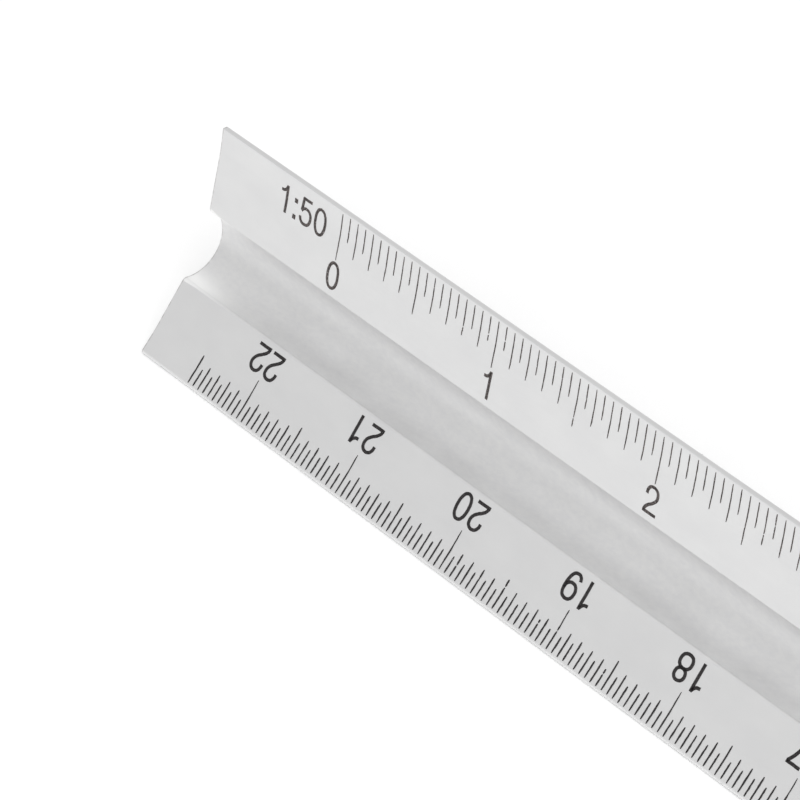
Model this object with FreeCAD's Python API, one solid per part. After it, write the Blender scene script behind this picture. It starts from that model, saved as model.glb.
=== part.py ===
import FreeCAD, Part

import math
import os

# Triangular scale ruler, 30 cm, six scales.  All sizes are millimetres.
#
# The ruler is one aluminium bar, extruded with three equal sides and cut to
# length.  Each side carries two scales: one printed along each of its facets,
# with a round groove between them.  The ink is a thin film on the metal.
#
# Frame: the ruler lies on two of its edges with the third edge on top.  X runs
# along it, +Z is up, and the origin is below its middle, on the table.

# The bar's section.  One side is described first, in the plane that touches
# its two edges: "across" runs along that plane from its middle, and "depth"
# runs from it into the metal.
EDGE_SPACING = 20.2          # across one side, from facet edge to facet edge
TIP_FLAT = 0.5               # blunt strip that ends each of the three tips
OUTER_SLOPE = math.radians(16.9)   # facet slope beside the edge
INNER_SLOPE = math.radians(12.6)   # facet slope beside the groove
CREASE_AT = 2.0              # from the edge to the change of slope, along the facet
FACET_WIDTH = {"upper": 7.5, "lower": 7.08}   # from the edge to the groove's lip
GROOVE_DEPTH = 4.16          # the groove's bottom, below the plane of the edges
WALL_DEPTH = 3.0             # where the upper lip's straight wall meets the round groove
LIP_RADIUS = 0.2

# The scales.  Each is printed to its true length of 300 mm.
SCALE_LENGTH = 300.0
START_MARGIN = 16.3          # from the bar's end to the 0 mark, room for the ratio
END_MARGIN = 6.4             # from the last mark to the bar's other end
LENGTH = START_MARGIN + SCALE_LENGTH + END_MARGIN

INK = 0.02                   # thickness of the printed film
MARK_START = 0.22            # from the facet's edge to where every mark starts

# Numerals: plain upright strokes.
DIGIT_HEIGHT = 2.4
DIGIT_WIDTH = 1.5
STROKE = 0.29
DIGIT_STEP = 1.87            # from one digit to the next
COLON_STEP = 0.91
COLON_DOT = 0.38
BASELINE = {"upper": 6.92, "lower": 6.56}   # of the numerals, from the facet's edge
LOWER_SHIFT = 0.2            # the lower scale's numerals stand this far past their marks
RATIO_TOP = 1.0              # from the facet's edge to the top of the ratio label
RATIO_CLEARANCE = 1.85       # from the ratio label's end to the 0 mark

# Where each side sits: turned about the bar's axis from the underside.
SIDES = {"underside": 0.0, "back": 120.0, "front": 240.0}

# ratio: side, facet, mark spacing, marks to a tenth, half and whole metre,
# their lengths (fine, tenth, half, whole), line width
SCALES = {
    20: ("back", "upper", 1.0, (5, 25, 50), (2.13, 2.83, 3.53, 4.08), 0.11),
    25: ("back", "lower", 0.8, (5, 25, 50), (1.6, 2.2, 2.9, 3.53), 0.13),
    50: ("front", "upper", 1.0, (2, 10, 20), (2.13, 3.16, 4.18, 4.08), 0.11),
    75: ("front", "lower", 1000 / 75 / 20, (2, 10, 20), (1.49, 2.06, 2.59, 3.53), 0.16),
    100: ("underside", "upper", 1.0, (1, 5, 10), (2.13, 2.13, 3.16, 4.08), 0.11),
    125: ("underside", "lower", 0.8, (1, 5, 10), (1.6, 1.6, 2.6, 3.53), 0.13),
}

X_AXIS = FreeCAD.Vector(1, 0, 0)
Z_AXIS = FreeCAD.Vector(0, 0, 1)
FULL_SIDE = EDGE_SPACING + 2 * TIP_FLAT     # of the triangle with sharp corners
CENTRE_HEIGHT = FULL_SIDE / (2 * math.sqrt(3))


def facet_point(along, lift=0.0):
    """Point on the underside's first facet: `along` it from the edge, `lift`
    off the metal.  Across is Y and depth is Z."""
    outer = min(along, CREASE_AT)
    inner = along - outer
    slope = OUTER_SLOPE if inner == 0 else INNER_SLOPE
    y = -EDGE_SPACING / 2 + outer * math.cos(OUTER_SLOPE) + inner * math.cos(INNER_SLOPE)
    z = outer * math.sin(OUTER_SLOPE) + inner * math.sin(INNER_SLOPE)
    if lift and along == CREASE_AT:
        slope = (OUTER_SLOPE + INNER_SLOPE) / 2
        lift = lift / math.cos((OUTER_SLOPE - INNER_SLOPE) / 2)
    return FreeCAD.Vector(0, y + lift * math.sin(slope), z - lift * math.cos(slope))


def mirrored(point):
    return FreeCAD.Vector(point.x, -point.y, point.z)


def turned(point, degrees):
    """The point turned about the bar's axis."""
    centre = FreeCAD.Vector(0, 0, CENTRE_HEIGHT)
    return FreeCAD.Rotation(X_AXIS, degrees).multVec(point - centre) + centre


def side_section():
    """Points of one side, lying flat: edge, crease, upper lip, foot of its wall,
    groove's bottom, lower lip, crease, edge.  The groove is round about a centre
    on the side's middle line, and passes through the bottom and the lower lip."""
    edge, crease = facet_point(0), facet_point(CREASE_AT)
    upper_lip, lower_lip = (facet_point(FACET_WIDTH[f]) for f in ("upper", "lower"))
    centre = ((lower_lip.y**2 + lower_lip.z**2 - GROOVE_DEPTH**2)
              / (2 * (lower_lip.z - GROOVE_DEPTH)))
    foot = FreeCAD.Vector(0, -math.sqrt((GROOVE_DEPTH - centre)**2 - (WALL_DEPTH - centre)**2),
                          WALL_DEPTH)
    bottom = FreeCAD.Vector(0, 0, GROOVE_DEPTH)
    return [edge, crease, upper_lip, foot, bottom,
            mirrored(lower_lip), mirrored(crease), mirrored(edge)]


def extruded_bar():
    """The section's outline, side by side, pulled to the bar's length."""
    one_side = side_section()
    outline, lips = [], []
    turns = sorted(SIDES.values())
    for turn, next_turn in zip(turns, turns[1:] + turns[:1]):
        edge, crease, lip, foot, bottom, far_lip, far_crease, far_edge = (
            turned(q, turn) for q in one_side)
        straight = [(edge, crease), (crease, lip), (lip, foot)]
        outline += [Part.makeLine(a, b) for a, b in straight]
        outline += [Part.Arc(foot, bottom, far_lip).toShape()]
        straight = [(far_lip, far_crease), (far_crease, far_edge),
                    (far_edge, turned(one_side[0], next_turn))]
        outline += [Part.makeLine(a, b) for a, b in straight]
        lips += [lip, far_lip]
    bar = Part.Face(Part.Wire(outline)).extrude(X_AXIS * LENGTH)
    bar.translate(X_AXIS * -LENGTH / 2)
    long_edges = [e for e in bar.Edges if e.Length > 0.9 * LENGTH]
    lip_edges = [e for e in long_edges
                 if any(math.hypot(e.CenterOfMass.y - q.y, e.CenterOfMass.z - q.z) < 1e-3
                        for q in lips)]
    return bar.makeFillet(LIP_RADIUS, lip_edges)


def film_strip(start, end, width):
    """Ink on the first facet from `start` to `end`, measured from the edge,
    and `width` wide along the bar from X = 0.  It bends at the crease."""
    stops = [start] + ([CREASE_AT] if start < CREASE_AT < end else []) + [end]
    corners = [facet_point(s) for s in stops]
    corners += [facet_point(s, INK) for s in reversed(stops)]
    return Part.Face(Part.makePolygon(corners + corners[:1])).extrude(X_AXIS * width)


# Digits: centre lines of the strokes, in a box `w` wide and `h` high.

def arc(start, middle, end):
    return Part.Arc(*(FreeCAD.Vector(x, y, 0) for x, y in (start, middle, end))).toShape()


def lines(*points):
    return [Part.makeLine(FreeCAD.Vector(*a, 0), FreeCAD.Vector(*b, 0))
            for a, b in zip(points, points[1:])]


def ring_arc(centre, radius, start, end):
    """Arc about a centre, from one angle to another, in degrees."""
    at = [math.radians(a) for a in (start, (start + end) / 2, end)]
    return arc(*((centre[0] + radius * math.cos(a), centre[1] + radius * math.sin(a))
                 for a in at))


def circle(centre, radius):
    return [ring_arc(centre, radius, 0, 180), ring_arc(centre, radius, 180, 360)]


def on_circle(centre, radius, degrees):
    a = math.radians(degrees)
    return centre[0] + radius * math.cos(a), centre[1] + radius * math.sin(a)


def digit_strokes(digit):
    """Lists of edges, one list for each pen stroke of the digit."""
    w, h = DIGIT_WIDTH - STROKE, DIGIT_HEIGHT - STROKE
    r = w / 2
    top, low = (r, h - r), (r, r)
    if digit == "0":
        return [[arc((0, h - r), (r, h), (w, h - r)), *lines((w, h - r), (w, r)),
                 arc((w, r), (r, 0), (0, r)), *lines((0, r), (0, h - r))]]
    if digit == "1":
        stem = 0.62 * w
        return [lines((0.12 * w, 0.76 * h), (stem, h), (stem, 0))]
    if digit == "2":
        tangent = math.atan2(h - r, r) - math.asin(r / math.hypot(r, h - r)) - math.pi / 2
        tangent = math.degrees(tangent)
        return [[ring_arc(top, r, 175, tangent),
                 *lines(on_circle(top, r, tangent), (0, 0), (w, 0))]]
    if digit == "3":
        upper, lower = 0.235 * h, 0.265 * h
        middle = 0.42 * w
        return [[ring_arc((middle, h - upper), upper, 165, -90)],
                [ring_arc((middle, lower), lower, 90, -165)]]
    if digit == "4":
        bar, stem = 0.26 * h, 0.76 * w
        halfway = (stem / 2, (bar + h) / 2)
        return [lines((w, bar), (0, bar), halfway), lines(halfway, (stem, h), (stem, 0))]
    if digit == "5":
        bowl = (0.49 * w, 0.33 * h)
        radius = 0.33 * h * 0.9
        start = on_circle(bowl, radius, 140)
        return [lines((0.92 * w, h), (0.2 * w, h), start),
                [ring_arc(bowl, radius, 140, -155)]]
    if digit in "69":
        strokes = [circle(low, r), [*lines((0, r), (0, h - r)), ring_arc(top, r, 180, 30)]]
        if digit == "9":
            half_turn = FreeCAD.Vector(r, h / 2, 0), Z_AXIS, 180
            strokes = [[e.rotated(*half_turn) for e in stroke] for stroke in strokes]
        return strokes
    if digit == "7":
        return [lines((0, h), (w, h), (0.35 * w, 0))]
    lower = 0.275 * h
    upper = h / 2 - lower
    return [circle((r, lower), lower), circle((r, h - upper), upper)]


def inked(stroke):
    """Flat face of one stroke: its centre line widened to the pen's width,
    with round ends.  A closed stroke becomes a ring."""
    line = Part.Wire(stroke)
    face = Part.Face(line.makeOffset2D(STROKE / 2, 0))
    if line.isClosed():
        face = face.cut(Part.Face(line.makeOffset2D(-STROKE / 2, 0)))
    return face


def glyph(character, height):
    """A digit or a colon as raised ink, its lower left corner at the origin."""
    if character == ":":
        dot = Part.makeBox(COLON_DOT, COLON_DOT, height)
        return [dot, dot.translated(FreeCAD.Vector(0, DIGIT_HEIGHT * 0.72 - COLON_DOT, 0))]
    strokes = [inked(stroke).extrude(Z_AXIS * height) for stroke in digit_strokes(character)]
    digit = strokes[0].fuse(strokes[1:]).removeSplitter() if len(strokes) > 1 else strokes[0]
    return [digit.translated(FreeCAD.Vector(STROKE / 2, STROKE / 2, 0)).Solids[0]]


def line_of_type(text, height):
    """The text's glyphs, each in its own cell of a row that starts at X = 0."""
    pen, row = 0.0, []
    for character in text:
        bearing = 0 if character == ":" else (DIGIT_STEP - DIGIT_WIDTH) / 2
        row += [part.translated(X_AXIS * (pen + bearing)) for part in glyph(character, height)]
        pen += COLON_STEP if character == ":" else DIGIT_STEP
    return row


def laid_on_facet(shape, baseline, slope):
    """Flat type turned onto the underside's first facet: its face outwards, its
    top towards the edge, and its baseline at `baseline` from the edge."""
    shape = shape.copy()
    shape.rotate(FreeCAD.Vector(), X_AXIS, 180 + math.degrees(slope))
    shape.translate(facet_point(baseline))
    return shape


def numeral(text, facet):
    """Ink of one numeral for the mark at X = 0.  An upper scale centres the
    row's cells on the mark, a lower scale the printed digits."""
    row = line_of_type(text, INK)
    middle = len(text) * DIGIT_STEP / 2
    if facet == "lower":
        middle = Part.makeCompound(row).BoundBox.Center.x - LOWER_SHIFT
    return [laid_on_facet(part.translated(X_AXIS * -middle), BASELINE[facet], INNER_SLOPE)
            for part in row]


def ratio_label(ratio):
    """Ink of the ratio, such as 1:50, ending before the 0 mark at X = 0.
    It crosses the facet's crease, so it is cut out of a film that bends."""
    row = line_of_type("1:%d" % ratio, 2 * GROOVE_DEPTH)
    end = Part.makeCompound(row).BoundBox.XMax
    start = FreeCAD.Vector(-RATIO_CLEARANCE - end, 0, -GROOVE_DEPTH)
    slope = (OUTER_SLOPE + INNER_SLOPE) / 2
    film = film_strip(RATIO_TOP / 2, RATIO_TOP + DIGIT_HEIGHT * 1.2, START_MARGIN)
    film.translate(X_AXIS * -START_MARGIN)
    return [solid for part in row
            for solid in laid_on_facet(part.translated(start), RATIO_TOP + DIGIT_HEIGHT, slope)
            .common(film).Solids]


def put_in_place(shapes, side, facet):
    """Ink made on the underside's first facet, with 0 at X = 0, moved to its
    own side.  The lower facet's scale is turned half round, so that it starts
    at the bar's other end and both scales read with their edge on top."""
    whole = Part.makeCompound(shapes)
    whole.translate(X_AXIS * (START_MARGIN - LENGTH / 2))
    if facet == "lower":
        whole.rotate(FreeCAD.Vector(), Z_AXIS, 180)
    whole.rotate(FreeCAD.Vector(0, 0, CENTRE_HEIGHT), X_AXIS, SIDES[side])
    return whole


def scale_parts(ratio):
    """Everything printed on one facet: name of the piece -> its ink."""
    side, facet, spacing, (tenth, half, whole), lengths, line = SCALES[ratio]
    fine_length, tenth_length, half_length, whole_length = lengths
    pieces = {"fine_marks": [], "long_marks": [], "numerals": []}
    strips = {length: film_strip(MARK_START, MARK_START + length, line)
              for length in set(lengths)}
    for count in range(round(SCALE_LENGTH / spacing) + 1):
        if count % whole == 0:
            length = whole_length
            pieces["numerals"] += [g.translated(X_AXIS * count * spacing)
                                   for g in numeral(str(count // whole), facet)]
        elif count % half == 0:
            length = half_length
        else:
            length = tenth_length if count % tenth == 0 else fine_length
        kind = "fine_marks" if length == fine_length else "long_marks"
        mark = strips[length].translated(X_AXIS * (count * spacing - line / 2))
        pieces[kind].append(mark)
    pieces["ratio_label"] = ratio_label(ratio)
    return {name: put_in_place(ink, side, facet) for name, ink in pieces.items()}


os.makedirs("parts", exist_ok=True)
nodes = {"extruded_bar": extruded_bar()}
for ratio in SCALES:
    for name, ink in scale_parts(ratio).items():
        nodes["scale_%d_%s" % (ratio, name)] = ink
for name, shape in nodes.items():
    shape.exportStep("parts/%s.step" % name)
    print("%-24s %4d solids, %9.3f mm3, valid %s"
          % (name, len(shape.Solids), shape.Volume, shape.isValid()))
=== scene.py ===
# %% [markdown]
# # A triangular scale ruler
#
# The object is a drafting ruler: one aluminium bar with three equal sides, 300 mm
# of graduations on each of its six facets, and a round groove between every two
# facets for the fingertips.  It was extruded, cut to length, lightly deburred,
# anodised to a silky satin, and then printed.
#
# The notebook loads the engineering model first, so that every later surface has
# a true place to go.  All the geometry here is worked out in millimetres and put
# into Blender in metres, in one function.

import math

import bpy
import numpy as np
from mathutils import Matrix, Vector


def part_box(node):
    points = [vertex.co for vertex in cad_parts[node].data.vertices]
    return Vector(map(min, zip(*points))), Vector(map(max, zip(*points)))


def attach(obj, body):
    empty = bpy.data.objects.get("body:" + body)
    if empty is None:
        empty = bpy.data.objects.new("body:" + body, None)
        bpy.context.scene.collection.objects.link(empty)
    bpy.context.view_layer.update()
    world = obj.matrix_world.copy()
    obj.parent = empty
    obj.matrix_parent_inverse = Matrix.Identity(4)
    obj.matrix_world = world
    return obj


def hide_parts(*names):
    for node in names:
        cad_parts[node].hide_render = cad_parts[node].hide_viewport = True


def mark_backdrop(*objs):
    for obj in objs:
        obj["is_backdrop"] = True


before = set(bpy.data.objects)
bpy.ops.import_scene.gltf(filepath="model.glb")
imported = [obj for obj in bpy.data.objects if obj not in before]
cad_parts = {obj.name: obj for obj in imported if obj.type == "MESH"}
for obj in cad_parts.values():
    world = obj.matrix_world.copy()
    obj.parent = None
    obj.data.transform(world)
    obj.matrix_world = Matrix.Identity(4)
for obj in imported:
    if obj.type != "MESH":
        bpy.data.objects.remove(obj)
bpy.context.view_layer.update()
bar_low, bar_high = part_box("extruded_bar")
MM = 0.001
bar_length, bar_width, bar_height = (v / MM for v in bar_high - bar_low)
print("bar %.1f x %.1f x %.2f mm, %d nodes"
      % (bar_length, bar_width, bar_height, len(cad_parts)))

# %% [markdown]
# ## Where the camera stands
#
# A long lens from half a metre away keeps the ruler's long edges almost parallel,
# as in a catalogue of drawing instruments.  The camera is placed by walking round
# a point on the ruler: azimuth round it, elevation above it, then a slight roll.
# A matrix built from the three view directions is exact, and needs no tracking
# constraint that a later step might disturb.

# %% Camera
aim = Vector((-131.9, -5.4, 9.0)) * MM
azimuth, elevation, roll = (math.radians(a) for a in (54.832, 36.268, 4.304))
distance = 0.4624

forward = Vector((-math.sin(azimuth) * math.cos(elevation),
                  math.cos(azimuth) * math.cos(elevation), -math.sin(elevation)))
level_right = forward.cross(Vector((0, 0, 1))).normalized()
level_up = level_right.cross(forward)
right = level_right * math.cos(roll) - level_up * math.sin(roll)
up = level_up * math.cos(roll) + level_right * math.sin(roll)

lens = bpy.data.cameras.new("long_lens")
lens.sensor_width, lens.lens = 36, 264.4
lens.clip_start, lens.clip_end = 0.01, 20
camera = bpy.data.objects.new("camera", lens)
camera.matrix_world = Matrix.Translation(aim - forward * distance) @ Matrix(
    (right, up, -forward)).transposed().to_4x4()
bpy.context.scene.collection.objects.link(camera)
bpy.context.scene.camera = camera
print("camera at", [round(c / MM, 1) for c in camera.location])

# %% [markdown]
# ## Meshes from arrays
#
# Every new surface starts as a numpy array of points.  One helper turns points
# and faces into a Blender mesh with `foreach_set`, which copies whole arrays and
# is far quicker than adding vertices one at a time.

# %% Array to mesh
def new_piece(name, points, quads, triangles=None):
    """Object from points in millimetres, quads (n, 4) and triangles (m, 3)."""
    triangles = np.zeros((0, 3), int) if triangles is None else triangles
    corners = np.concatenate([quads.ravel(), triangles.ravel()])
    sizes = np.repeat([4, 3], [len(quads), len(triangles)])
    mesh = bpy.data.meshes.new(name)
    mesh.vertices.add(len(points))
    mesh.vertices.foreach_set("co", (points * MM).astype(np.float32).ravel())
    mesh.loops.add(len(corners))
    mesh.loops.foreach_set("vertex_index", corners.astype(np.int32))
    mesh.polygons.add(len(sizes))
    starts = np.concatenate([[0], np.cumsum(sizes)[:-1]])
    mesh.polygons.foreach_set("loop_start", starts.astype(np.int32))
    mesh.update(calc_edges=True)
    mesh.validate()
    piece = bpy.data.objects.new(name, mesh)
    bpy.context.scene.collection.objects.link(piece)
    return piece

# %% [markdown]
# ## The section of one side
#
# An extrusion is known by its section.  This one has three equal sides, so only
# one is described, lying flat: `across` runs over it from the middle and `depth`
# runs into the metal.  From its edge a facet dips at 17 degrees and then eases to
# under 13, so it is very slightly hollow and the ink never touches the table.
# A softplus curve makes the change of slope smooth with a single formula.

# %% The facet's curve
tip_flat = 0.5
outer_slope, inner_slope = np.radians([16.9, 12.6])
crease_at, crease_ease = 2.0, 0.25
facet_width = {"upper": 7.5, "lower": 7.08}
groove_depth, wall_depth = 4.16, 3.0
edge_spacing = bar_width - tip_flat
centre_height = (edge_spacing + 2 * tip_flat) / (2 * math.sqrt(3))


def facet_curve(along, lift=0.0):
    """Across and depth of the point `along` the facet from its edge.

    past = ease * ln(1 + exp((along - crease) / ease)) is the stretch that has the
    inner slope, and the rest has the outer slope.  `lift` is off the metal."""
    past = crease_ease * np.logaddexp(0, (along - crease_at) / crease_ease)
    share = 1 / (1 + np.exp((crease_at - along) / crease_ease))
    slope = outer_slope + share * (inner_slope - outer_slope)
    across = (along - past) * np.cos(outer_slope) + past * np.cos(inner_slope)
    depth = (along - past) * np.sin(outer_slope) + past * np.sin(inner_slope)
    return (across - edge_spacing / 2 + lift * np.sin(slope),
            depth - lift * np.cos(slope))


def round_groove(lip_across, lip_depth):
    """Centre's depth and radius of the circle, centred on the side's middle line,
    that passes through a lip and through the groove's bottom."""
    centre = ((lip_across**2 + lip_depth**2 - groove_depth**2)
              / (2 * (lip_depth - groove_depth)))
    return centre, groove_depth - centre


groove_centre, groove_radius = round_groove(*facet_curve(facet_width["lower"]))
print("edges %.2f mm apart, groove radius %.2f mm" % (edge_spacing, groove_radius))

# %% [markdown]
# ## The groove and its overhanging lip
#
# The groove is round, but the upper facet reaches 0.4 mm further over it than the
# lower one, so under the upper lip stands a short straight wall.
# In polar coordinates about the groove's centre a straight line has the radius
# p / cos(turn - tilt), and the smaller of that and the circle's radius follows the
# wall first and the circle after it, with no case to tell apart.

# %% The groove's curve
def wall_line():
    """Distance p from the groove's centre, and tilt, of the line from the upper
    lip to the point of the circle at the wall's depth."""
    across, depth = facet_curve(facet_width["upper"])
    foot_below = wall_depth - groove_centre
    foot_across = -math.sqrt(groove_radius**2 - foot_below**2)
    run, rise = foot_across - across, wall_depth - depth
    tilt = math.atan2(rise, run)
    return (foot_below * math.cos(tilt) - foot_across * math.sin(tilt)), tilt


WALLS = {"upper": wall_line(), "lower": (2 * groove_radius, 0.0)}


def groove_curve(turn, facet):
    """Across and depth of the groove at an angle `turn` from its bottom."""
    offset, tilt = WALLS[facet]
    radius = np.minimum(groove_radius, offset / np.cos(turn - tilt))
    return -radius * np.sin(turn), groove_centre + radius * np.cos(turn)


wall_offset, wall_tilt = WALLS["upper"]
print("wall stands at %.0f degrees, %.2f mm from the groove's centre"
      % (math.degrees(wall_tilt), wall_offset))

# %% [markdown]
# ## Rounded lips and corners
#
# No edge of an extrusion is sharp: the die leaves about a tenth of a millimetre,
# and whoever deburred the cut ends took off more there.  The light hairline along
# each lip comes mostly from that rounding, so it is modelled, not only painted.  A
# quadratic curve from one flank to the other does it, with the sharp corner as its
# handle, and letting its length grow towards the ends gives the hand-softened look.
# The tips are rounded the same way, the lower facet's side of them far more.

# %% Half of one side
FACET_POINTS, GROOVE_POINTS, BEND_POINTS = 26, 24, 7
corner_round = {"upper": 0.05, "lower": 0.24}
lip_round = {"upper": 0.08, "lower": 0.18}
lip_round_at_end, deburr_reach = 0.3, 1.2


def bend(start, corner, end, count):
    """Points between start and end, (1-t)^2 start + 2t(1-t) corner + t^2 end."""
    t = np.linspace(0, 1, count + 2)[1:-1, None]
    start, corner, end = (p[:, None, :] for p in (start, corner, end))
    return (1 - t)**2 * start + 2 * t * (1 - t) * corner + t**2 * end


def half_side(from_end, facet_name):
    """Points (stations, n, 2) from a tip's middle to the groove's bottom.

    `from_end` is each station's distance from the bar's nearer end, which sets
    how far the lip is rounded there."""
    here = np.ones_like(from_end)
    width = facet_width[facet_name]
    rounding = lip_round[facet_name] + (lip_round_at_end - lip_round[facet_name]) * np.exp(
        -(from_end / deburr_reach)**2)
    corner = corner_round[facet_name]
    edge = np.stack(facet_curve(0.0 * here), -1)
    along_tip = np.array([0.5, -math.sqrt(3) / 2])
    tip = (edge - along_tip * tip_flat / 2)[:, None, :]
    tip_end = edge - along_tip * corner

    spread = 0.5 - 0.5 * np.cos(np.linspace(0, np.pi, FACET_POINTS))
    along = corner + spread * (width - corner - rounding)[:, None]
    facet = np.stack(facet_curve(along), -1)
    lip_across, lip_depth = facet_curve(width)
    lip = np.stack([lip_across * here, lip_depth * here], -1)

    lip_angle = math.atan2(-lip_across, lip_depth - groove_centre)
    turn = (lip_angle - rounding / groove_radius)[:, None] * np.linspace(1, 0, GROOVE_POINTS)
    groove = np.stack(groove_curve(turn, facet_name), -1)
    return np.concatenate([
        tip, tip_end[:, None, :], bend(tip_end, edge, facet[:, 0], 3), facet,
        bend(facet[:, -1], lip, groove[:, 0], BEND_POINTS), groove], 1)

# %% [markdown]
# ## Three sides, pulled along the bar
#
# A half with the upper facet and a mirrored half with the lower one make a side,
# and turning the side twice by 120 degrees gives the closed section.  Stations are
# crowded near the ends, where the rounding changes, and sparse between.  The first
# few stations draw the section in by a hair to make the bevel of the cut.

# %% Stations and section
END_BEVEL = 0.09
bevel_turn = np.linspace(0, np.pi / 2, 5)
near_end = END_BEVEL + 8.0 * np.linspace(0.08, 1, 14)**1.8
middle = np.linspace(near_end[-1], bar_length - near_end[-1], 38)[1:-1]
from_left = np.concatenate([END_BEVEL * (1 - np.cos(bevel_turn)), near_end])
stations = np.concatenate([from_left, middle, bar_length - from_left[::-1]])
from_end = np.minimum(stations, bar_length - stations)
drawn_in = END_BEVEL - np.sqrt(np.clip(
    END_BEVEL**2 - np.clip(END_BEVEL - from_end, 0, None)**2, 0, None))


def turned(across, depth, degrees):
    """Y and Z of a point on a side that is turned about the bar's axis."""
    a = np.radians(degrees)
    below = depth - centre_height
    return (across * np.cos(a) - below * np.sin(a),
            across * np.sin(a) + below * np.cos(a) + centre_height)


SIDE_TURNS = {"underside": 0.0, "back": 120.0, "front": 240.0}
half = half_side(from_end, "upper")
mirrored_half = half_side(from_end, "lower")[:, -2:0:-1] * [-1, 1]
side = np.concatenate([half, mirrored_half], 1)
ring = np.concatenate([np.stack(turned(side[..., 0], side[..., 1], t), -1)
                       for t in SIDE_TURNS.values()], 1)
tangent = np.roll(ring, -1, 1) - np.roll(ring, 1, 1)
outward = np.stack([tangent[..., 1], -tangent[..., 0]], -1)
outward /= np.linalg.norm(outward, axis=-1, keepdims=True)
ring = ring - outward * drawn_in[:, None, None]
print("section of %d points at %d stations" % (ring.shape[1], ring.shape[0]))

# %% [markdown]
# The flat ends are laddered: the two flanks of each arm have the same number of
# points, so rungs join a point on one flank to its fellow on the other, and the
# last three rungs leave one small triangle in the core.  It is a tidy way to close
# a section that is far from convex.

# %% The bar
count, around = ring.shape[:2]
per_side, bottom = side.shape[1], half.shape[1] - 1
points = np.concatenate([
    np.broadcast_to((stations - bar_length / 2)[:, None, None], (count, around, 1)),
    ring], -1).reshape(-1, 3)
i, j = np.meshgrid(np.arange(count - 1), np.arange(around), indexing="ij")
next_j = (j + 1) % around
wall = np.stack([i * around + j, i * around + next_j,
                 (i + 1) * around + next_j, (i + 1) * around + j], -1).reshape(-1, 4)

starts = np.arange(3) * per_side
rung = np.arange(bottom + 1)
one_flank = starts[:, None] + rung
other_flank = (starts[:, None] - rung) % around
end_quads = np.stack([one_flank[:, 1:-1], one_flank[:, 2:],
                      other_flank[:, 2:], other_flank[:, 1:-1]], -1).reshape(-1, 4)
end_triangles = np.stack([one_flank[:, 0], one_flank[:, 1], other_flank[:, 1]], -1)
end_triangles = np.concatenate([end_triangles, (starts + bottom)[None, :]])
last = (count - 1) * around
quads = np.concatenate([wall, end_quads[:, ::-1], end_quads + last])
triangles = np.concatenate([end_triangles[:, ::-1], end_triangles + last])

bar = new_piece("anodised_bar", points, quads, triangles)
is_wall = np.zeros(len(quads) + len(triangles), bool)
is_wall[:len(wall)] = True
bar.data.polygons.foreach_set("use_smooth", is_wall)
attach(bar, "root")
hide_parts("extruded_bar")
print("bar has %d faces" % len(bar.data.polygons))

# %% [markdown]
# Near each end the groove is painted lighter for a few millimetres along each lip: a
# painted highlight where light comes in at the open end.  All along the bar both lips'
# roundings and the groove next to the lower lips get a painted highlight, and the groove
# under the overhanging upper lips a painted shade.  How light or how dark is worked out
# for every point and stored as an attribute, which the groove's material reads.

# %% Where the groove gets a painted highlight, and where a painted shade
# Painted highlight near the ends and on the lips, painted shade under the upper lips
HIGHLIGHT_REACH_FROM_END = {"upper": 2.4, "lower": 4.6}
HIGHLIGHT_WIDTH_AT_END = 1.5
LIP_HIGHLIGHT, LIP_HIGHLIGHT_AT_END = 0.08, 0.7
LIP_SHADE_AND_HIGHLIGHT = {"upper": -0.5, "lower": 0.3}
LIP_SHADE_AND_HIGHLIGHT_WIDTH = 1.1
from_lip = np.full(bottom + 1, np.inf)
from_lip[-GROOVE_POINTS:] = np.linspace(0, 1, GROOVE_POINTS) * groove_radius * math.atan2(
    -facet_curve(facet_width["lower"])[0], facet_curve(facet_width["lower"])[1] - groove_centre)
on_lip = np.zeros(bottom + 1, bool)
on_lip[-GROOVE_POINTS - BEND_POINTS:-GROOVE_POINTS] = True


def tool_marks(facet_name):
    """Painted light on the groove: b exp(-(from lip / width)^2), a painted highlight near
    the ends, with b = exp(-(from end / reach)^2), plus a (1 - b) exp(-(from lip / along
    width)^2), a painted shade where a is below 0 and a painted highlight where it is above
    0; on the lip itself a painted highlight h + (h at the end - h) b, h the lip's value."""
    along_bar = np.exp(-(from_end / HIGHLIGHT_REACH_FROM_END[facet_name])**2)[:, None]
    in_groove = (along_bar * np.exp(-(from_lip / HIGHLIGHT_WIDTH_AT_END)**2)
                 + LIP_SHADE_AND_HIGHLIGHT[facet_name] * (1 - along_bar)
                 * np.exp(-(from_lip / LIP_SHADE_AND_HIGHLIGHT_WIDTH)**2))
    lip_highlight = LIP_HIGHLIGHT + (LIP_HIGHLIGHT_AT_END - LIP_HIGHLIGHT) * along_bar
    return np.where(on_lip, lip_highlight, in_groove)


one_side = np.concatenate([tool_marks("upper"), tool_marks("lower")[:, -2:0:-1]], 1)
attribute = bar.data.attributes.new("deburred", "FLOAT", "POINT")
attribute.data.foreach_set("value", np.tile(one_side, 3).astype(np.float32).ravel())
# Counts the points that carry a painted highlight
print("tool marks on %d points" % np.count_nonzero(one_side > 0.05))

# %% [markdown]
# ## Ink as thin ribbons
#
# The print is a film a few hundredths of a millimetre thick.  It could be painted
# in the bar's material, but real marks have edges and can be measured, so each one
# is a closed ribbon that follows the facet's curve.  A ribbon is given by its
# left and right edge on the facet; its underside is sunk a hair into the metal so
# that no light gets under it.

# %% From a facet to the bar
INK_TOP, INK_SUNK = 0.016, 0.004
START_MARGIN, SCALE_LENGTH = 16.3, 300.0


def on_bar(run, along, lift, side_name, facet):
    """Points on one facet: `run` from the scale's 0 mark, `along` from the edge.

    The lower facet is the upper one turned half round in the side's plane, so
    both scales read with their own edge on top."""
    across, depth = facet_curve(along, lift)
    x = run + START_MARGIN - bar_length / 2
    if facet == "lower":
        x, across = -x, -across
    y, z = turned(across, depth, SIDE_TURNS[side_name])
    return np.stack([x, y, z], -1)


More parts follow.
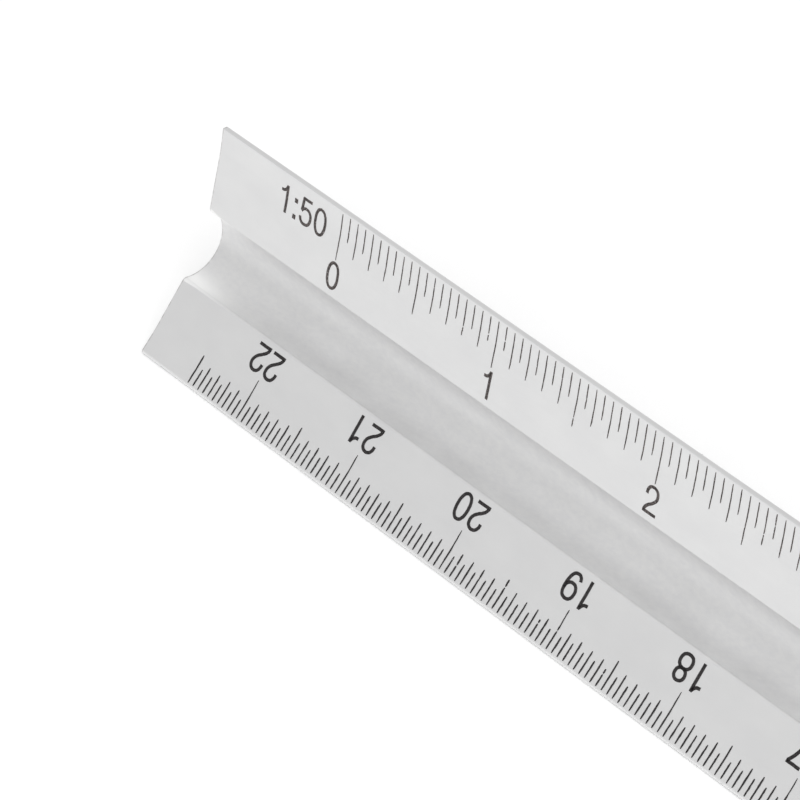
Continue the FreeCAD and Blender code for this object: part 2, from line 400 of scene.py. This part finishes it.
def ink_ribbons(name, ribbons, place, replaced):
    """One printed piece: closed ribbons from (left, right) edges, each edge an
    array (..., stations, 2) of run and along."""
    points, quads, used = [], [], 0
    for left, right in ribbons:
        left, right = (np.reshape(e, (-1,) + e.shape[-2:]) for e in (left, right))
        ribbon_count, length = left.shape[:2]
        rim = np.stack([on_bar(e[..., 0], e[..., 1], lift, *place)
                        for e, lift in ((left, -INK_SUNK), (left, INK_TOP),
                                        (right, INK_TOP), (right, -INK_SUNK))], 2)
        first = used + 4 * length * np.arange(ribbon_count)[:, None, None]
        step = 4 * np.arange(length - 1)[:, None]
        k = np.arange(4)
        tube = np.stack([k, (k + 1) % 4, (k + 1) % 4 + 4, k + 4], -1)
        body = (first[..., None] + step[..., None] + tube).reshape(-1, 4)
        cap = np.array([3, 2, 1, 0])
        ends = np.concatenate([first[:, 0] + cap, first[:, 0] + 4 * (length - 1) + cap[::-1]])
        points.append(rim.reshape(-1, 3))
        quads += [body, ends]
        used += rim.size // 3
    piece = new_piece(name, np.concatenate(points), np.concatenate(quads))
    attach(piece, "root")
    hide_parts(replaced)
    return piece

# %% [markdown]
# ## The marks
#
# A scale is printed to count metres of the drawing.  On a 1:50 scale a metre is
# 20 mm long and the finest marks are 1 mm, five centimetres of the building,
# apart.  Longer marks pick out the tenths, halves and whole metres.  Screen
# printing thins a line near its tips and skips now and then, so every mark tapers,
# and a seeded random generator gives it a slight wobble and a few of them a gap.

# %% Scales
# side, facet, spacing, marks to a tenth, half and whole metre, the lengths of
# fine, tenth, half and whole marks, and the width of the lines
SCALES = {
    20: ("back", "upper", 1.0, (5, 25, 50), (2.13, 2.83, 3.53, 4.08), 0.11),
    25: ("back", "lower", 0.8, (5, 25, 50), (1.6, 2.2, 2.9, 3.53), 0.13),
    50: ("front", "upper", 1.0, (2, 10, 20), (2.13, 3.16, 4.18, 4.08), 0.11),
    75: ("front", "lower", 1000 / 75 / 20, (2, 10, 20), (1.49, 2.06, 2.59, 3.53), 0.16),
    100: ("underside", "upper", 1.0, (1, 5, 10), (2.13, 2.13, 3.16, 4.08), 0.11),
    125: ("underside", "lower", 0.8, (1, 5, 10), (1.6, 1.6, 2.6, 3.53), 0.13),
}
MARK_START = 0.22
MARK_STATIONS = 9
SKIPPED_SHARE = 0.08
SLIM_PAST, SLIM_SHARE = 2.3, 0.66
printer = np.random.default_rng(7)


def mark_ribbons(run, length, slim_past, line):
    """Left and right edges of straight marks, given by arrays of run and length.

    The half width is line/2 times a taper that falls off at both tips, with a
    wobble, and two thirds of that further than `slim_past` from the facet's edge;
    about one mark in twelve is printed in two strokes with a gap."""
    start = np.full_like(run, MARK_START) + printer.normal(0, 0.025, len(run))
    end = start + length + printer.normal(0, 0.03, len(run))
    skips = printer.random(len(run)) < SKIPPED_SHARE
    skip_at = start + (end - start) * printer.uniform(0.45, 0.85, len(run))
    gap = printer.uniform(0.05, 0.16, len(run))
    run = np.concatenate([run, run[skips]])
    slim_past = np.concatenate([slim_past, slim_past[skips]])
    start = np.concatenate([start, (skip_at + gap)[skips]])
    end = np.concatenate([np.where(skips, skip_at, end), end[skips]])
    t = np.linspace(0, 1, MARK_STATIONS)
    taper = 1 - 0.45 * np.abs(2 * t - 1)**8
    wobble = 1 + printer.normal(0, 0.09, (len(run), MARK_STATIONS))
    along = start[:, None] + (end - start)[:, None] * t
    slim = np.where(along > slim_past[:, None], SLIM_SHARE, 1.0)
    half_width = line / 2 * taper * wobble * slim
    drift = printer.normal(0, 0.006, (len(run), MARK_STATIONS))
    middle_line = run[:, None] + drift
    return (np.stack([middle_line - half_width, along], -1),
            np.stack([middle_line + half_width, along], -1))


marks = []
for ratio, (side_name, facet, spacing, steps, lengths, line) in SCALES.items():
    number = np.arange(round(SCALE_LENGTH / spacing) + 1)
    length = np.full(len(number), lengths[0])
    for step, longer in zip(steps, lengths[1:]):
        length[number % step == 0] = longer
    is_fine = length == lengths[0]
    is_slim = (length == lengths[3]) & (facet == "lower")
    slim_past = np.where(is_slim, SLIM_PAST, np.inf)
    for kind, chosen in (("fine_marks", is_fine), ("long_marks", ~is_fine)):
        ribbons = [mark_ribbons(number[chosen] * spacing, length[chosen],
                                slim_past[chosen], line)]
        node = "scale_%d_%s" % (ratio, kind)
        marks.append(ink_ribbons("printed_%d_%s" % (ratio, kind), ribbons,
                                 (side_name, facet), node))
print("%d pieces of marks, %d faces" % (len(marks), sum(len(m.data.polygons) for m in marks)))

# %% [markdown]
# ## The numerals
#
# The digits are plain grotesque ones.  A digit is drawn the way a signwriter
# would: a centre line made of cubic curves, and a brush that is a little wider in
# upright strokes than in level ones.  Offsetting the centre line to both sides by
# the brush gives the two edges of a ribbon.  Digit sizes below are in units of
# the digit's height.

# %% Centre lines
DIGIT_HEIGHT, DIGIT_STEP, COLON_STEP = 2.4, 1.87, 0.91
DIGIT_CELL = DIGIT_STEP / DIGIT_HEIGHT
UPRIGHT_PEN, LEVEL_PEN = 0.0605, 0.052
LOWER_WEIGHT = 1.1
CURVE_STEPS = 9


def curve(*controls):
    """Centre line through cubic spans: start, then two handles and an end each.

    A span is (1-t)^3 a + 3t(1-t)^2 b + 3t^2(1-t) c + t^3 d; joints are kept once."""
    p = np.array(controls, float)
    spans = np.stack([p[:-1:3], p[1::3], p[2::3], p[3::3]])
    t = np.linspace(0, 1, CURVE_STEPS + 1)[:, None, None]
    weights = (1 - t)**3, 3 * t * (1 - t)**2, 3 * t**2 * (1 - t), t**3
    line = sum(w * s for w, s in zip(weights, spans)).transpose(1, 0, 2)
    return np.concatenate([line[0, :1], line[:, 1:].reshape(-1, 2)])


def straight(start, end):
    return np.linspace(start, end, 5)


def oval(centre, half_width, half_height, power=2.25):
    """Closed superellipse |x/a|^p + |y/b|^p = 1 about a centre, from its top."""
    t = np.linspace(0, 2 * np.pi, 41)
    x = np.sign(np.sin(t)) * np.abs(np.sin(t))**(2 / power) * half_width
    y = np.sign(np.cos(t)) * np.abs(np.cos(t))**(2 / power) * half_height
    return np.stack([x, y], -1) + centre


SIX = [oval((0.335, 0.322), 0.262, 0.272),
       curve((0.066, 0.33), (0.05, 0.70), (0.15, 0.952), (0.36, 0.952),
             (0.475, 0.952), (0.565, 0.89), (0.585, 0.755))]
DIGITS = {
    "0": [oval((0.325, 0.5), 0.264, 0.452)],
    "1": [straight((0.31, 0.0), (0.31, 1.0)),
          curve((0.0, 0.755), (0.12, 0.755), (0.235, 0.785), (0.285, 0.93))],
    "2": [curve((0.066, 0.645), (0.062, 0.85), (0.165, 0.95), (0.325, 0.95),
                (0.48, 0.95), (0.575, 0.85), (0.575, 0.715),
                (0.575, 0.575), (0.485, 0.485), (0.345, 0.385),
                (0.20, 0.285), (0.085, 0.215), (0.062, 0.06)),
          straight((0.003, 0.052), (0.632, 0.052))],
    "3": [curve((0.072, 0.70), (0.082, 0.86), (0.17, 0.95), (0.315, 0.95),
                (0.46, 0.95), (0.55, 0.87), (0.55, 0.745),
                (0.55, 0.61), (0.45, 0.545), (0.245, 0.545)),
          curve((0.30, 0.545), (0.49, 0.545), (0.592, 0.445), (0.592, 0.29),
                (0.592, 0.14), (0.48, 0.05), (0.315, 0.05),
                (0.16, 0.05), (0.062, 0.14), (0.055, 0.31))],
    "4": [straight((0.475, 0.0), (0.475, 1.0)),
          straight((0.452, 0.95), (0.05, 0.30)),
          straight((0.0, 0.268), (0.645, 0.268))],
    "5": [straight((0.115, 0.945), (0.582, 0.945)),
          straight((0.150, 0.96), (0.088, 0.49)),
          curve((0.082, 0.475), (0.155, 0.57), (0.23, 0.615), (0.33, 0.615),
                (0.49, 0.615), (0.59, 0.50), (0.59, 0.335),
                (0.59, 0.165), (0.485, 0.05), (0.315, 0.05),
                (0.165, 0.05), (0.07, 0.13), (0.052, 0.27))],
    "6": SIX,
    "7": [straight((0.0, 0.945), (0.625, 0.945)),
          curve((0.588, 0.925), (0.40, 0.70), (0.255, 0.38), (0.215, 0.0))],
    "8": [oval((0.325, 0.745), 0.225, 0.206), oval((0.325, 0.292), 0.268, 0.242)],
    "9": [np.array([0.65, 1.0]) - line for line in SIX],
    ":": [straight((0.08, 0.0), (0.08, 0.16)), straight((0.08, 0.585), (0.08, 0.745))],
}
BEARINGS = {"1": 0.15, ":": 0.11}
DOT_PEN = 0.08

# %% Brush
def brushed(line, weight, pen=None):
    """Left and right edges of a centre line.

    With n the unit normal, the half width is upright * |n_x|^2 + level * |n_y|^2,
    times the weight, so a stroke thins where it runs level.  A closed line meets
    its own start."""
    closed = np.allclose(line[0], line[-1])
    step = np.gradient(line, axis=0)
    if closed:
        step[0] = step[-1] = line[1] - line[-2]
    normal = np.stack([-step[:, 1], step[:, 0]], -1)
    normal /= np.linalg.norm(normal, axis=-1, keepdims=True)
    width = (UPRIGHT_PEN * normal[:, :1]**2 + LEVEL_PEN * normal[:, 1:]**2) * weight
    if pen:
        width = np.full_like(width, pen)
    rough = printer.normal(0, 0.0028, width.shape)
    rough[-1] = rough[0]
    return line + normal * (width + rough), line - normal * (width - rough)


def row_of_digits(text, weight=1.0):
    """Ribbons of a row of type, in millimetres, and the row's advance."""
    pen, ribbons = 0.0, []
    for character in text:
        cell = COLON_STEP / DIGIT_HEIGHT if character == ":" else DIGIT_CELL
        bearing = BEARINGS.get(character, (DIGIT_CELL - 0.65) / 2)
        for line in DIGITS[character]:
            edges = brushed(line, weight, DOT_PEN if character == ":" else None)
            ribbons.append([(e + (pen + bearing, 0)) * DIGIT_HEIGHT for e in edges])
        pen += cell
    return ribbons, pen * DIGIT_HEIGHT


def set_type(ribbons, run, baseline):
    """The row moved to its place: across from the 0 mark and down the facet."""
    return [[np.stack([e[:, 0] + run, baseline - e[:, 1]], -1) for e in edges]
            for edges in ribbons]


def printed_span(ribbons):
    runs = np.concatenate([e[:, 0] for edges in ribbons for e in edges])
    return runs.min(), runs.max()

# %% [markdown]
# ## Setting the type
#
# An upper scale centres each numeral's cells under its mark; a lower scale sets
# the printed digits a fifth of a millimetre past it.  The ratio stands before the
# 0 mark, a little closer to the edge.

# %% Numerals and ratio labels
BASELINE = {"upper": 6.92, "lower": 6.56}
LOWER_SHIFT = 0.2
RATIO_TOP, RATIO_CLEARANCE = 1.0, 1.85

for ratio, (side_name, facet, spacing, steps, lengths, line) in SCALES.items():
    metre = 1000 / ratio
    numerals = []
    for value in range(int(SCALE_LENGTH / metre + 1e-6) + 1):
        row, advance = row_of_digits(str(value), LOWER_WEIGHT if facet == "lower" else 1.0)
        middle = advance / 2
        if facet == "lower":
            middle = sum(printed_span(row)) / 2 - LOWER_SHIFT
        numerals += set_type(row, value * metre - middle, BASELINE[facet])
    label, advance = row_of_digits("1:%d" % ratio)
    label = set_type(label, -RATIO_CLEARANCE - printed_span(label)[1],
                     RATIO_TOP + DIGIT_HEIGHT)
    for kind, ribbons in (("numerals", numerals), ("ratio_label", label)):
        piece = ink_ribbons("printed_%d_%s" % (ratio, kind), ribbons, (side_name, facet),
                            "scale_%d_%s" % (ratio, kind))
        marks.append(piece)
print("%d printed pieces, %d faces in all"
      % (len(marks), sum(len(m.data.polygons) for m in marks)))

# %% [markdown]
# ## Materials
#
# All the finishes need the same few patterns: fine lines that follow the drawing or
# sawing direction, soft clouds, a mottle and a speckle.  They come from one node
# group, which stretches the object coordinates, so a pattern stays with the metal.

# %% Node helpers
def new_material(name):
    material = bpy.data.materials.new(name)
    material.use_nodes = True
    nodes = material.node_tree.nodes
    return material, nodes, material.node_tree.links, nodes["Principled BSDF"]


def new_group(name, inputs, outputs):
    """Node group with float or vector inputs and float outputs."""
    group = bpy.data.node_groups.new(name, "ShaderNodeTree")
    for label, kind, value in inputs:
        socket = group.interface.new_socket(label, in_out="INPUT", socket_type=kind)
        socket.default_value = value
    for label in outputs:
        group.interface.new_socket(label, in_out="OUTPUT", socket_type="NodeSocketFloat")
    return (group, group.nodes.new("NodeGroupInput"), group.nodes.new("NodeGroupOutput"))


def stretched_noise(tree, source, scale, detail=3.0, roughness=0.55):
    """Noise whose cells are 1/scale metres long along each axis."""
    mapping = tree.nodes.new("ShaderNodeMapping")
    mapping.inputs["Scale"].default_value = scale
    noise = tree.nodes.new("ShaderNodeTexNoise")
    noise.inputs["Scale"].default_value = 1.0
    noise.inputs["Detail"].default_value = detail
    noise.inputs["Roughness"].default_value = roughness
    tree.links.new(source, mapping.inputs["Vector"])
    tree.links.new(mapping.outputs["Vector"], noise.inputs["Vector"])
    return noise.outputs["Fac"]


def ramp(tree, source, low, high, low_value, high_value):
    """Map Range node: source from low..high to low_value..high_value, clamped."""
    node = tree.nodes.new("ShaderNodeMapRange")
    for label, value in (("From Min", low), ("From Max", high),
                         ("To Min", low_value), ("To Max", high_value)):
        node.inputs[label].default_value = value
    tree.links.new(source, node.inputs["Value"])
    return node.outputs["Result"]


def mixed(tree, factor, first, second):
    """Mix of two colours by a factor socket."""
    node = tree.nodes.new("ShaderNodeMix")
    node.data_type = "RGBA"
    tree.links.new(factor, node.inputs["Factor"])
    node.inputs["A"].default_value = (*first, 1)
    node.inputs["B"].default_value = (*second, 1)
    return node.outputs["Result"]


def bumped(tree, height, distance, strength):
    node = tree.nodes.new("ShaderNodeBump")
    node.inputs["Distance"].default_value = distance
    node.inputs["Strength"].default_value = strength
    tree.links.new(height, node.inputs["Height"])
    return node.outputs["Normal"]

# %% The grain of worked metal
grain, grain_in, grain_out = new_group(
    "metal_grain", [("Along", "NodeSocketVector", (0, 0, 0))],
    ("Lines", "Clouds", "Mottle", "Speckle"))
for output, scale, detail in (("Lines", (45, 5200, 5200), 4.0),
                              ("Clouds", (220, 420, 420), 2.0),
                              ("Mottle", (1400, 2600, 2600), 5.0),
                              ("Speckle", (7000, 9000, 9000), 2.0)):
    grain.links.new(stretched_noise(grain, grain_in.outputs["Along"], scale, detail),
                    grain_out.inputs[output])


def add_grain(material, vector=None):
    tree = material.node_tree
    node = tree.nodes.new("ShaderNodeGroup")
    node.node_tree = grain
    if vector is None:
        vector = tree.nodes.new("ShaderNodeTexCoord").outputs["Object"]
    tree.links.new(vector, node.inputs["Along"])
    return node.outputs

# %% [markdown]
# Clear anodising leaves aluminium a bright, silky grey.  The extrusion's lines
# and faint clouds survive under it, so they change the roughness and colour by a
# few per cent, and a speckle lifts the surface by less than a micron.

# %% Anodised aluminium
anodised, nodes, links, shader = new_material("clear_anodised_aluminium")
shader.inputs["Metallic"].default_value = 1.0
fine = add_grain(anodised)
tree = anodised.node_tree
links.new(mixed(tree, ramp(tree, fine["Clouds"], 0.3, 0.7, 0, 1),
                (0.765, 0.765, 0.767), (0.79, 0.79, 0.79)), shader.inputs["Base Color"])
links.new(ramp(tree, fine["Lines"], 0.25, 0.75, 0.485, 0.535), shader.inputs["Roughness"])
links.new(bumped(tree, fine["Speckle"], 1e-6, 0.4), shader.inputs["Normal"])

# %% [markdown]
# The grooves were never machined, so they keep the die's surface: greyer, mottled
# and grainy under the anodising.  Where the attribute is above 0 they get a painted
# highlight, and where it is below 0 a painted shade.

# %% Grooves
groove, nodes, links, shader = new_material("drawn_groove")
tree = groove.node_tree
shader.inputs["Metallic"].default_value = 1.0
skin = add_grain(groove)
mottled = mixed(tree, ramp(tree, skin["Mottle"], 0.3, 0.7, 0, 1),
                (0.72, 0.72, 0.725), (0.765, 0.763, 0.76))
# The attribute paints light into the groove: above 0 a painted highlight, below 0 a painted
# shade
painted_light_node = nodes.new("ShaderNodeAttribute")
painted_light_node.attribute_name = "deburred"
painted_shade_share = ramp(tree, painted_light_node.outputs["Fac"], -0.5, 0, 1, 0)
painted_highlight_share = ramp(tree, painted_light_node.outputs["Fac"], 0, 0.9, 0, 1)
with_painted_shade = mixed(tree, painted_shade_share, (0, 0, 0), (0.45, 0.45, 0.46))
with_painted_highlight = mixed(tree, painted_highlight_share, (0, 0, 0), (0.95, 0.95, 0.945))
links.new(mottled, with_painted_shade.node.inputs["A"])
links.new(with_painted_shade, with_painted_highlight.node.inputs["A"])
links.new(with_painted_highlight, shader.inputs["Base Color"])
# Less metallic under the painted highlight, so it also takes diffuse light
links.new(ramp(tree, painted_light_node.outputs["Fac"], 0, 0.9, 1.0, 0.65), shader.inputs["Metallic"])
links.new(ramp(tree, skin["Clouds"], 0.3, 0.7, 0.46, 0.58), shader.inputs["Roughness"])
links.new(bumped(tree, skin["Mottle"], 4e-6, 0.4), shader.inputs["Normal"])

# %% [markdown]
# The ends were cut by a fine saw after extrusion: its lines run across the
# section, and the metal there is a little duller.

# %% Cut ends
cut, nodes, links, shader = new_material("sawn_end")
tree = cut.node_tree
shader.inputs["Metallic"].default_value = 1.0
turn = nodes.new("ShaderNodeMapping")
turn.inputs["Rotation"].default_value = (math.radians(20), 0, math.radians(90))
links.new(nodes.new("ShaderNodeTexCoord").outputs["Object"], turn.inputs["Vector"])
sawn = add_grain(cut, turn.outputs["Vector"])
links.new(mixed(tree, ramp(tree, sawn["Lines"], 0.3, 0.7, 0, 1),
                (0.66, 0.66, 0.665), (0.80, 0.80, 0.80)), shader.inputs["Base Color"])
links.new(ramp(tree, sawn["Speckle"], 0.3, 0.7, 0.42, 0.58), shader.inputs["Roughness"])
links.new(bumped(tree, sawn["Lines"], 6e-6, 0.6), shader.inputs["Normal"])

# %% [markdown]
# The hairline where a cut meets a face is ragged and catches dirt.  It is the bevel
# of the cut and a tenth of a millimetre beyond, in a darker, mottled metal.

# %% Ragged cut edge, and which face takes which finish
ragged, nodes, links, shader = new_material("ragged_cut_edge")
tree = ragged.node_tree
shader.inputs["Metallic"].default_value = 1.0
shader.inputs["Roughness"].default_value = 0.5
burr = add_grain(ragged)
links.new(mixed(tree, ramp(tree, burr["Mottle"], 0.4, 0.6, 0, 1),
                (0.60, 0.595, 0.59), (0.77, 0.77, 0.77)), shader.inputs["Base Color"])

FACE_FINISH, GROOVE_FINISH, SAWN_FINISH, RAGGED_FINISH = range(4)
for material in (anodised, groove, cut, ragged):
    bar.data.materials.append(material)
in_groove = np.zeros(per_side, bool)
past_facet = GROOVE_POINTS + BEND_POINTS
in_groove[bottom - past_facet:bottom + past_facet] = True
wall_finish = np.tile(np.where(in_groove, GROOVE_FINISH, FACE_FINISH), (count - 1) * 3)
ragged_rings = len(bevel_turn)
wall_finish[:ragged_rings * around] = wall_finish[-ragged_rings * around:] = RAGGED_FINISH
finish = np.concatenate([wall_finish, np.full(np.count_nonzero(~is_wall), SAWN_FINISH)])
bar.data.polygons.foreach_set("material_index", finish.astype(np.int32))

# %% [markdown]
# The ink is a matt brown-black.  On metal it never covers evenly: it has pinholes
# and paler grains, most of all in thin lines.

# %% Printed ink
def ink(name, dark, pale, pale_share, pinholes):
    """Ink whose paler grains cover `pale_share` of it and whose pinholes are let
    through where the speckle passes 1 - pinholes."""
    material, nodes, links, shader = new_material(name)
    tree = material.node_tree
    grains = add_grain(material)
    shader.inputs["Roughness"].default_value = 0.55
    shader.inputs["Specular IOR Level"].default_value = 0.35
    edge = 0.5 + 0.35 * (0.5 - pale_share)
    links.new(mixed(tree, ramp(tree, grains["Speckle"], edge - 0.08, edge + 0.12, 0, 1),
                    dark, pale), shader.inputs["Base Color"])
    links.new(ramp(tree, grains["Speckle"], 1 - pinholes, 1.03 - pinholes, 1, 0),
              shader.inputs["Alpha"])
    links.new(bumped(tree, grains["Speckle"], 4e-6, 0.6), shader.inputs["Normal"])
    return material


full_ink = ink("black_ink", (0.009, 0.0072, 0.0076), (0.040, 0.033, 0.034), 0.26, 0.26)
thin_ink = ink("thin_brown_ink", (0.030, 0.024, 0.023), (0.13, 0.108, 0.103), 0.45, 0.33)
for piece in marks:
    facet = SCALES[int(piece.name.split("_")[1])][1]
    piece.data.materials.append(thin_ink if facet == "upper" else full_ink)

# %% [markdown]
# ## Table and light
#
# The ruler lies on plain white card in soft, even light from a light grey sky.  A
# large panel hangs behind the camera and whitens the card.  Seen from the camera,
# the upper facet mirrors that card and the lower facet the sky, so the panel adds no
# glare, and the upper one is the lighter of the two.

# %% Table
def table(size):
    piece = new_piece("table", np.array([(-1, -1, 0), (1, -1, 0), (1, 1, 0), (-1, 1, 0.0)])
                      * size / MM, np.array([[0, 1, 2, 3]]))
    material, nodes, links, shader = new_material("white_card")
    shader.inputs["Roughness"].default_value = 0.9
    shader.inputs["Base Color"].default_value = (0.95, 0.95, 0.95, 1)
    piece.data.materials.append(material)
    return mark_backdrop(piece)


table(3.0)

# %% Lights
scene = bpy.context.scene
scene.view_settings.view_transform = "Standard"
world = bpy.data.worlds.new("soft_grey")
world.use_nodes = True
world.node_tree.nodes["Background"].inputs["Color"].default_value = (1, 1, 1, 1)
world.node_tree.nodes["Background"].inputs["Strength"].default_value = 0.74
scene.world = world

panel = bpy.data.lights.new("soft_panel", "AREA")
panel.size, panel.energy = 1.0, 8.6
hung = bpy.data.objects.new("soft_panel", panel)
hung.matrix_world = Matrix.Translation((0.45, -0.45, 0.95)) @ Vector(
    (0.55, -0.45, 0.95)).to_track_quat("Z", "Y").to_matrix().to_4x4()
scene.collection.objects.link(hung)
